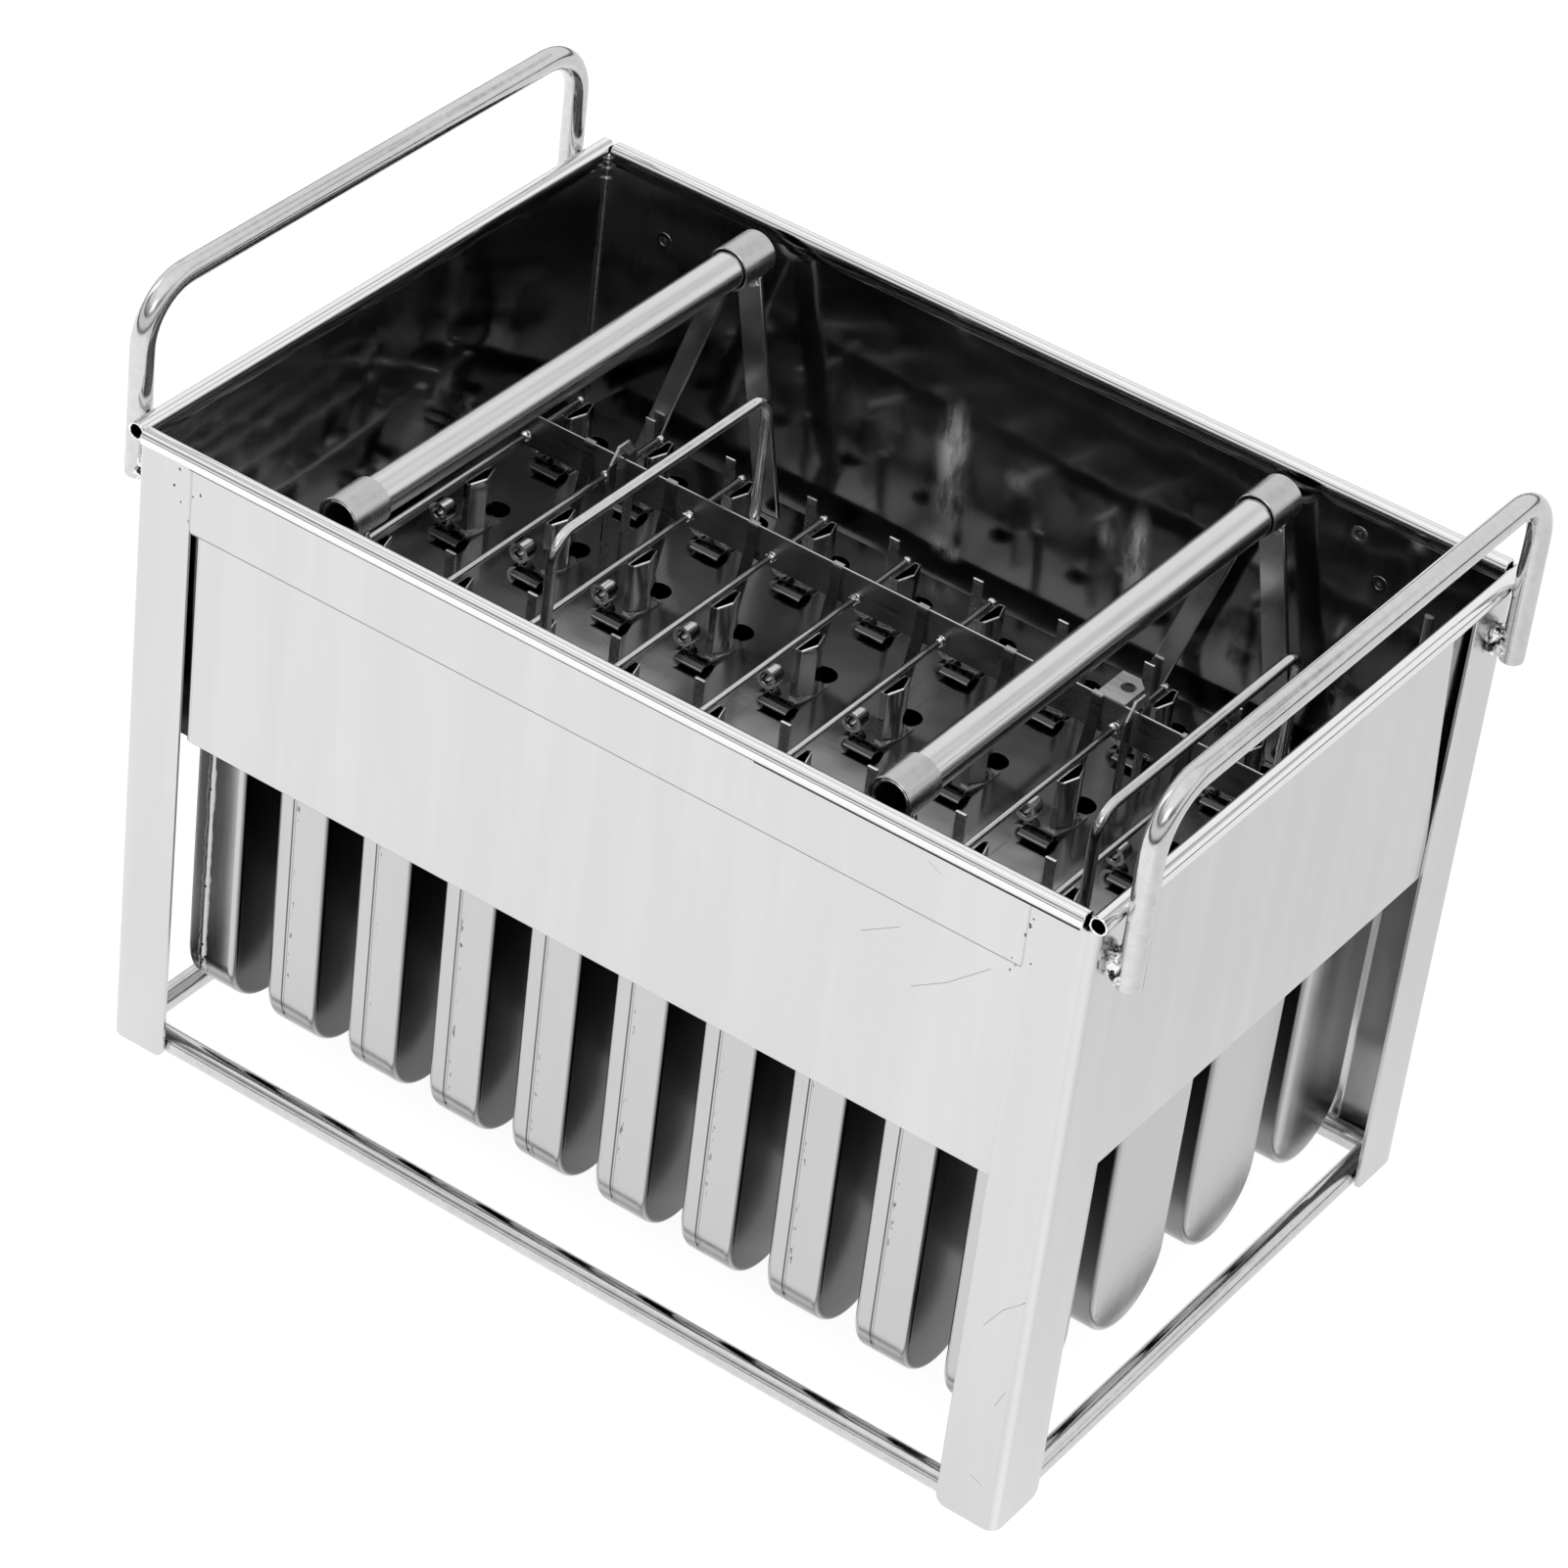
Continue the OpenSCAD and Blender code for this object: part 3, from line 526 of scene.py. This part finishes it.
# dark finish for burnt weld pits, and for the painted shadow beads under the hems
BURNT_PIT_AND_GAP_SHADOW = steel("burnt_pit_and_gap_shadow", 0.06, 0.5, 900, 0.02, 0.02)

SLOT_FINISH = {"basin_wall": INNER, "pocket_sheet": POCKET, "outer_sheet": OUTER,
               "steel_rod": ROD, "holder_sheet": PLATE, "clip_sheet": CLIP, "grip_tube": TUBE}
for node, shown in NODE.items():
    shown.data.materials.clear()
    shown.data.materials.append(SLOT_FINISH[SLOT_OF[node]])


# Pieces that are rebuilt round and smooth, and the marks of making

def walls():
    """Basin sheets with hems rolled outward; each is built facing -Y and turned to its side."""
    for side, place in SIDES.items():
        out, hem, half, tube = LONG_SIDE if side in ("front", "rear") else SHORT_SIDE
        edge = min(half, tube)
        bm = bmesh.new()
        block(bm, (-half, -out, WALL_FOOT), (half, -out + WALL_SHEET, WALL_TOP), 0.2)
        block(bm, (-edge, -out, LIP_FOOT), (edge, -out + WALL_SHEET, LIP_TOP), 0.2)
        bmesh.ops.transform(bm, matrix=place, verts=bm.verts)
        finished("basin_wall_" + side, bm, "mold", INNER, "basin_wall",
                 stands_for=["wall_" + side])
        bm = bmesh.new()
        ring(bm, HEM_OUTER, HEM_BORE, 2 * tube, 0.2,
             place @ moved(-tube, -hem, HEM_Z) @ turned(90, "Y"))
        finished("rolled_hem_" + side, bm, "mold", HEM, "basin_wall",
                 stands_for=["wall_" + side])


def wall_marks():
    """Ground welds in the basin's corners, and spot-weld dimples on its rear wall."""
    bm = bmesh.new()
    for a, b in CORNERS:
        x, y = a * CORNER_X, b * CORNER_Y
        bead(bm, (x, y, 140.2), (x, y, 243.2), 0.5, lumps=0.5)
        for z in (245, 241, 237):
            blob(bm, (a * 180.3, b * 120.3, z), (0.9, 0.9, 0.8), 0.3, z)
    finished("basin_corner_welds", bm, "mold", GROUND, "basin_wall")
    bm = bmesh.new()
    for x, z in DIMPLES:
        ring(bm, 3.2, 1.7, 0.35, 0.15, moved(x, REAR_WALL_Y, z) @ turned(90, "X"), steps=20)
        blob(bm, (x, REAR_WALL_Y, z), (0.9, 0.35, 0.9), 0.3, x)
    finished("spot_weld_dimples", bm, "mold", INNER, "basin_wall")


def carry_handle(side, s):
    """Bent rod on the outside of two legs, with lumpy welds that bridge to its feet."""
    bm = bmesh.new()
    bend = ("bend", CARRY_BEND, -90, (1, 0, 0))
    rod(bm, ROD_RADIUS, (s * CARRY_X, -CARRY_Y, CARRY_FOOT), (0, 0, 1),
        [("run", CARRY_RISE), bend, ("run", CARRY_SPAN), bend, ("run", CARRY_RISE)],
        sides=28, cap=0.6)
    finished("carry_handle_rod_" + side, bm, "mold", ROD, "steel_rod",
             stands_for=["carry_handle_" + side])
    bm = bmesh.new()
    for b in (-1, 1):
        for k, ((x, y, z), size) in enumerate(CARRY_LUMPS):
            blob(bm, (s * x, b * y, z), size, 0.5, 3 * s + b + k)
    finished("carry_handle_welds_" + side, bm, "mold", WELD, "steel_rod")
    bm = bmesh.new()
    for b in (-1, 1):
        for k, (x, y, z) in enumerate(CARRY_PITS):
            blob(bm, (s * x, b * y, z), (0.9, 0.7, 1.2), 0.9, s * k + b)
    finished("carry_handle_weld_pits_" + side, bm, "mold", BURNT_PIT_AND_GAP_SHADOW, "steel_rod")


def base_rail(side, start, toward, length):
    bm = bmesh.new()
    rod(bm, ROD_RADIUS, start, toward, [("run", length)], sides=24, cap=0.2)
    finished("base_rail_rod_" + side, bm, "mold", ROD, "steel_rod",
             stands_for=["base_rail_" + side])


def clamp_rods():
    """The two squeeze handles, and the ten cross rods with a small bulb at the rear."""
    bend = ("bend", SQUEEZE_BEND, -90, (1, 0, 0))
    for side, x in SQUEEZE_X.items():
        bm = bmesh.new()
        rod(bm, SQUEEZE_RADIUS, (x, -SQUEEZE_Y, SQUEEZE_FOOT), (0, 0, 1),
            [("run", SQUEEZE_RISE), bend, ("run", SQUEEZE_SPAN), bend, ("run", SQUEEZE_RISE)],
            sides=16, cap=0.3)
        finished("squeeze_handle_rod_" + side, bm, "clamp", ROD, "steel_rod",
                 stands_for=["squeeze_handle_" + side])
    bm = bmesh.new()
    for x in COLUMNS:
        rod(bm, CROSS_RADIUS, (x - CROSS_SHIFT, CROSS_START, CROSS_Z), (0, 1, 0),
            [("run", CROSS_LENGTH)], sides=12, cap=0.3)
        blob(bm, (x - CROSS_SHIFT, 86, CROSS_Z), (1.75, 1.7, 1.7), 0.15, x)
    finished("clamp_cross_rods", bm, "clamp", ROD, "steel_rod", stands_for=["clamp_rods"])
    bm = bmesh.new()
    for x in COLUMNS:
        for y in (-57.9, 54.6):
            blob(bm, (x - CROSS_SHIFT, y, CROSS_Z), (1.9, 1.5, 1.9), 0.3, x + y)
    finished("cross_rod_welds", bm, "clamp", WELD, "steel_rod")


def grips():
    """Grip tubes with open bores, collar rings near both ends and bright cut lips, partly a
    painted glint.
    """
    for side, (x, front, rear) in TUBES.items():
        bm = bmesh.new()
        ring(bm, 6.75, 5.75, front + rear - 1.0, 0.2,
             moved(x, rear - 0.5, TUBE_Z) @ turned(90, "X"))
        finished("grip_tube_bore_" + side, bm, "holder", TUBE, "grip_tube",
                 stands_for=["grip_tube_" + side])
        bm = bmesh.new()
        for y in (rear, COLLAR_LENGTH - front):
            ring(bm, 8.0, 7.2, COLLAR_LENGTH, 0.3, moved(x, y, TUBE_Z) @ turned(90, "X"))
        finished("grip_collar_rings_" + side, bm, "holder", COLLAR, "grip_tube",
                 stands_for=["grip_collars_" + side])
        bm = bmesh.new()
        for y in (rear - 0.1, 0.8 - front):
            ring(bm, 6.85, 6.3, 0.5, 0.15, moved(x, y, TUBE_Z) @ turned(90, "X"))
        finished("grip_tube_lips_" + side, bm, "holder", BRIGHT, "grip_tube")


def pocket_seams():
    """Rough weld bead on the first pocket's narrow face, and the burnt lumps where the
    seams of the front row end at the bottom."""
    bm = bmesh.new()
    x, y = COLUMNS[0], ROWS[0]
    bead(bm, (x - 3.2, y - 20.9, 136), (x - 3.4, y - 20.9, 36), 1.75, lumps=0.35, sides=10)
    blob(bm, (x - 3.5, y - 20.6, 33), (1.9, 1.1, 5.5), 0.5, 2.0)
    finished("first_pocket_weld", bm, "mold", GROUND, "pocket_sheet")
    bm = bmesh.new()
    for z in (107, 66, 41, 33):
        blob(bm, (x - 2.9, y - 22.5, z), (0.45, 0.3, 0.6), 0.5, z)
    for column in COLUMNS[1:]:
        for z in (34, 30):
            blob(bm, (column - 3.2, y - 20.6 + 0.15 * (34 - z), z), (0.5, 0.4, 1.3), 0.7,
                 column + z)
    finished("pocket_weld_pits", bm, "mold", BURNT_PIT_AND_GAP_SHADOW, "pocket_sheet")


def trims():
    """Bright edges, partly worked and partly painted highlights: clip lips and curls, post tips,
    top edges of the clamp strips.
    """
    bm = bmesh.new()
    top = PLATE_TOP + 21
    for x in COLUMNS:
        for y in ROWS:
            bead(bm, (x - 0.8, y - 6.9, top - 0.1), (x + 0.5, y - 6.6, top + 0.1), 0.26)
            bead(bm, (x + 0.4, y - 6.7, top), (x + 2.4, y - 0.4, top), 0.48)
            bead(bm, (x + 2.4, y - 0.5, top), (x + 0.4, y + 6.6, top), 0.18)
    finished("clip_lips", bm, "holder", BRIGHT, "clip_sheet")
    for row, y in enumerate(ROWS):
        bm = bmesh.new()
        for x in COLUMNS:
            ring(bm, 3.9, 2.6, 4.8, 0, moved(x - 11, y - 3.6, 151.9) @ turned(90, "X"), steps=20)
        finished("clip_curl_rings_%d" % (row + 1), bm, "holder", CURL, "clip_sheet", sharp=60)
    bm = bmesh.new()
    tip = PLATE_TOP + 17.3
    for x in MIDDLES:
        for y in (ROWS[1] + 18, ROWS[3] + 18):
            bead(bm, (x - 1.9, y - 0.4, tip), (x + 1.9, y - 0.4, tip), 0.34)
    finished("post_tips", bm, "holder", BRIGHT, "holder_sheet")
    bm = bmesh.new()
    for s in (-1, 1):
        # painted highlight: bright beads along the clamp strips' top edges
        bead(bm, (-164.8, s * PITCH_Y, 179.9), (164.8, s * PITCH_Y, 179.9), 0.42, sides=8)
    finished("strip_top_edges", bm, "clamp", TUBE, "holder_sheet")


def frame_welds():
    """Welds of the base rails in the legs, and of the rim bands against the legs."""
    bm = bmesh.new()
    for a, b in CORNERS:
        seed = 3 * a + b
        blob(bm, (a * 179.6, b * 120.6, 3.9), (2.4, 1.8, 3.2), 0.4, seed + 1.9)
        blob(bm, (a * 180.9, b * 114.6, 4.4), (1.5, 3.0, 3.4), 0.4, seed + 2.3)
        bead(bm, (a * 160.9, b * 123.72, 219.5), (a * 160.9, b * 123.72, 242.6), 0.36, lumps=0.5)
    finished("frame_welds", bm, "mold", GROUND, "outer_sheet")


def weld_pits():
    """Pits in the ground welds between band, leg and hem, and dark beads as painted shadow in the
    gap under the roll.
    """
    noise.seed_set(PIT_SEED)
    bm = bmesh.new()
    for a, b in CORNERS:
        for k in range(6):
            drift = noise.noise_vector(Vector((k * 3.7, a * 2.1, b * 5.3)))
            far = noise.noise_vector(Vector((a * 4.1, k * 1.3, b * 2.9)))
            small = 0.25 + 0.5 * abs(far.y)
            blob(bm, (a * 161.0 + 12 * drift.x, b * BAND_Y, 231.0 + 24 * drift.z),
                 (small * (1 + abs(far.x)), 0.1, small * (1 + 2 * abs(far.z))), 0.9, k)
    # painted shadow: dark beads along the gap under the rolled hems
    for s in (-1, 1):
        bead(bm, (-162, s * LEG_Y, HEM_GAP_SHADOW_Z), (162, s * LEG_Y, HEM_GAP_SHADOW_Z), 0.22)
        bead(bm, (60, s * 124.05, 242.4), (178, s * 124.05, 242.3), 0.42)
        bead(bm, (s * LEG_X, -118, HEM_GAP_SHADOW_Z), (s * LEG_X, 118, HEM_GAP_SHADOW_Z), 0.22)
    finished("weld_pits", bm, "mold", BURNT_PIT_AND_GAP_SHADOW, "outer_sheet")


def shadow_lines_and_scratches():
    """Painted shadow lines under the lower edges of the rim bands on the long panels, and fine
    scratches.
    """
    bm = bmesh.new()
    # painted shadow: dark beads under the rim bands' lower edges
    for s in (-1, 1):
        bead(bm, (-160.6, s * BAND_Y, BAND_FOOT), (160.6, s * BAND_Y, BAND_FOOT), 0.13)
    finished("band_edge_painted_shadows", bm, "mold", SHADOW_LINE_AND_SCRATCH, "outer_sheet")
    bm = bmesh.new()
    for line in SCRATCHES:
        for start, end in zip(line, line[1:]):
            bead(bm, start, end, 0.11, sides=4)
    finished("sheet_scratches", bm, "mold", SHADOW_LINE_AND_SCRATCH, "outer_sheet")


def folded_edges():
    """The long panels' free edges, folded inward, and the rear legs' flanges, which reach
    a little farther behind the pockets."""
    bm = bmesh.new()
    for s, node in ((-1, "panel_front"), (1, "panel_rear")):
        low, high = (1000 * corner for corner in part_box(node))
        end, face = (low.x, low.y) if s < 0 else (high.x, high.y)
        x, y = end + 0.1 * s, face - s * 1.75
        bead(bm, (x, y, low.z + 0.3), (x, y, PANEL_TOP), 1.7, sides=20)
    finished("panel_edge_folds", bm, "mold", OUTER, "outer_sheet")
    bm = bmesh.new()
    for left, right in ((-161.5, -157.2), (157.2, 161.5)):
        block(bm, (left, 122.7, 3.0), (right, 123.7, 240.0), 0.2)
    finished("rear_flange_edges", bm, "mold", OUTER, "outer_sheet")


def holder_welds():
    """Weld lumps under the grip tubes, at the squeeze handles' feet and round the cross rods."""
    bm = bmesh.new()
    for x, _, _ in TUBES.values():
        for s in (-1, 1):
            blob(bm, (x + 2.2, s * 104.7, 234.6), (3.4, 0.9, 1.4), 0.4, x + s)
            blob(bm, (x - 5.6, s * 104.7, 236.6), (2.6, 0.9, 1.4), 0.4, x - s)
    finished("grip_welds", bm, "holder", WELD, "grip_tube")
    bm = bmesh.new()
    for x in SQUEEZE_X.values():
        for s in (-1, 1):
            blob(bm, (x, s * 57.6, 172.5), (2.2, 1.1, 4.0), 0.3, x * s)
    for x in COLUMNS:
        for s in (-1, 1):
            place = moved(x - CROSS_SHIFT, s * PITCH_Y - 0.25 - 0.6, CROSS_Z) @ turned(-90, "X")
            ring(bm, 1.9, 1.2, 0.5, 0.15, place)
    finished("clamp_welds", bm, "clamp", WELD, "steel_rod")


# The other sheet pieces are copies of the CAD solids, with eased edges on all but the pockets

def eased(node, edge, finish=None):
    bm = bmesh.new()
    bm.from_mesh(NODE[node].data)
    bmesh.ops.remove_doubles(bm, verts=bm.verts, dist=2e-6)
    bmesh.ops.dissolve_limit(bm, angle_limit=math.radians(0.5), verts=bm.verts, edges=bm.edges)
    slot = SLOT_OF[node]
    piece = hung(node + "_eased", bm, BODY_OF[node], finish or SLOT_FINISH[slot], slot,
                 stands_for=[node])
    if edge:
        rim = piece.modifiers.new("eased_edges", "BEVEL")
        rim.width = edge / 1000
        rim.segments = 2
        rim.limit_method = "ANGLE"
        rim.angle_limit = math.radians(50)


walls()
wall_marks()
for side, s in LEFT_RIGHT:
    carry_handle(side, s)
    base_rail(side, (s * 178.0, -113.75, RAIL_Z), (0, 1, 0), 227.5)
for side, s in FRONT_REAR:
    base_rail(side, (-179.25, s * 118.0, RAIL_Z), (1, 0, 0), 358.5)
clamp_rods()
grips()
pocket_seams()
trims()
frame_welds()
weld_pits()
shadow_lines_and_scratches()
folded_edges()
holder_welds()
for side in SIDES:
    eased("panel_" + side, 0.2)
for node in ("band_front", "band_rear", "leg_front_left", "leg_front_right", "leg_rear_left",
             "leg_rear_right"):
    eased(node, 0.3)
eased("guide_posts", 0.15, POST)
for node in ("clamp_strip_front", "clamp_strip_rear", "strip_gates"):
    eased(node, 0.15, STRIP)
for node in ("holder_plate", "basin_floor"):
    eased(node, 0.15)
for row in range(1, 5):
    eased("stick_clips_row_%d" % row, 0.15)
for side, _ in LEFT_RIGHT:
    eased("grip_braces_" + side, 0.4)
for row in range(1, 5):
    eased("pocket_row_%d" % row, 0)


# Camera, floor and studio

def view_from_the_photograph():
    """The fitted camera: it looks down at the front right corner, leaning a little."""
    turn, tilt, lean = map(math.radians, (CAMERA_TURN, CAMERA_TILT, CAMERA_LEAN))
    back = Vector((math.sin(turn) * math.cos(tilt), -math.cos(turn) * math.cos(tilt),
                   math.sin(tilt)))
    across = Vector((0, 0, 1)).cross(back).normalized()
    up = back.cross(across)
    right = across * math.cos(lean) + up * math.sin(lean)
    top = up * math.cos(lean) - across * math.sin(lean)
    lens = bpy.data.cameras.new("photo_view")
    lens.sensor_width = lens.sensor_height = SENSOR
    lens.lens = LENS
    lens.clip_end = FAR_END
    camera = bpy.data.objects.new("photo_view", lens)
    camera.matrix_world = Matrix.Translation(CAMERA_PLACE) @ Matrix(
        (right, top, back)).transposed().to_4x4()
    bpy.context.scene.collection.objects.link(camera)
    bpy.context.scene.camera = camera


def pale_floor():
    """A white floor for the camera, a little darker in reflections toward the far right, as
    a backdrop that falls off; it throws no light of its own on matt faces."""
    bm = bmesh.new()
    bmesh.ops.create_grid(bm, x_segments=1, y_segments=1, size=FLOOR_HALF)
    mesh = bpy.data.meshes.new("floor")
    bm.to_mesh(mesh)
    bm.free()
    floor = bpy.data.objects.new("floor", mesh)
    floor.location.z = -FLOOR_DROP
    bpy.context.scene.collection.objects.link(floor)
    mat = bpy.data.materials.new("pale_floor")
    mat.use_nodes = True
    mat.node_tree.nodes.clear()
    nodes = Nodes(mat.node_tree)
    matt = nodes.add("BsdfDiffuse")
    matt.inputs["Color"].default_value = (FLOOR_TONE, FLOOR_TONE, FLOOR_TONE, 1)
    glow = nodes.add("Emission")
    glow.inputs["Color"].default_value = WHITE
    away = nodes.add("VectorMath")
    away.operation = "DOT_PRODUCT"
    nodes.link(nodes.add("NewGeometry").outputs["Position"], away.inputs[0])
    away.inputs[1].default_value = (0.8, 0.6, 0)
    mirrored = nodes.spread(away.outputs["Value"], 0.0, 0.34, 0.84, 0.60)
    path = nodes.add("LightPath").outputs
    seen = nodes.maths("MAXIMUM", nodes.maths("MAXIMUM", path["Is Camera Ray"],
                                              path["Is Glossy Ray"]),
                       path["Is Transmission Ray"])
    level = nodes.mixed(path["Is Camera Ray"], mirrored, FLOOR_GLOW)
    nodes.link(nodes.maths("MULTIPLY", seen, level), glow.inputs["Strength"])
    both = nodes.add("AddShader")
    nodes.link(matt.outputs[0], both.inputs[0])
    nodes.link(glow.outputs[0], both.inputs[1])
    nodes.link(both.outputs[0], nodes.add("OutputMaterial").inputs["Surface"])
    mesh.materials.append(mat)


def studio_world():
    """White for the camera. In reflections the side before the object is white up to a dark
    gap, then grey, then a bright softbox overhead; the side behind it is plain white."""
    world = bpy.data.worlds.new("studio")
    world.use_nodes = True
    world.node_tree.nodes.clear()
    nodes = Nodes(world.node_tree)
    maths = nodes.maths
    x, y, z = nodes.axes(nodes.add("TexCoord").outputs["Generated"])

    def ramp(value, low, high, a, b):
        return nodes.spread(value, low, high, a, b, "SMOOTHSTEP")

    before = maths("ADD", ramp(z, 0.38, 0.43, 0.80, 0.06),
                   maths("ADD", ramp(z, 0.46, 0.51, 0.0, 0.36), ramp(z, 0.63, 0.71, 0.0, 0.62)))
    around = nodes.mixed(ramp(y, -0.35, 0.35, 0.0, 1.0), before, 0.92)
    # a darker stripe slants across the top
    slant = maths("ADD", z, maths("MULTIPLY", x, 0.255))
    stripe = ramp(maths("ABSOLUTE", maths("SUBTRACT", slant, 0.704)), 0.018, 0.042, 0.55, 1.0)
    above = maths("MULTIPLY", around, stripe)
    mirrored = nodes.mixed(ramp(z, 0.04, 0.16, 0.0, 1.0), 0.06, above)
    level = nodes.mixed(nodes.add("LightPath").outputs["Is Camera Ray"], mirrored, 1.0)
    sky = nodes.add("Background")
    sky.inputs["Color"].default_value = WHITE
    nodes.link(level, sky.inputs["Strength"])
    nodes.link(sky.outputs[0], nodes.add("OutputWorld").inputs["Surface"])
    bpy.context.scene.world = world


def softbox(name, place, wide, high, level):
    lamp = bpy.data.lights.new(name, "AREA")
    lamp.shape = "RECTANGLE"
    lamp.size, lamp.size_y = wide, high
    lamp.energy = level * wide * high * math.pi
    lit = bpy.data.objects.new(name, lamp)
    lit.location = place
    lit.rotation_euler = (Vector(LAMP_AIM) - Vector(place)).to_track_quat("-Z", "Y").to_euler()
    bpy.context.scene.collection.objects.link(lit)


view_from_the_photograph()
pale_floor()
studio_world()
softbox("softbox_front", (1.0, -2.2, 2.2), 1.6, 0.9, 1.1)
softbox("softbox_left", (-2.6, -0.4, 1.8), 0.7, 1.4, 1.2)

bpy.context.scene.view_settings.view_transform = "Standard"
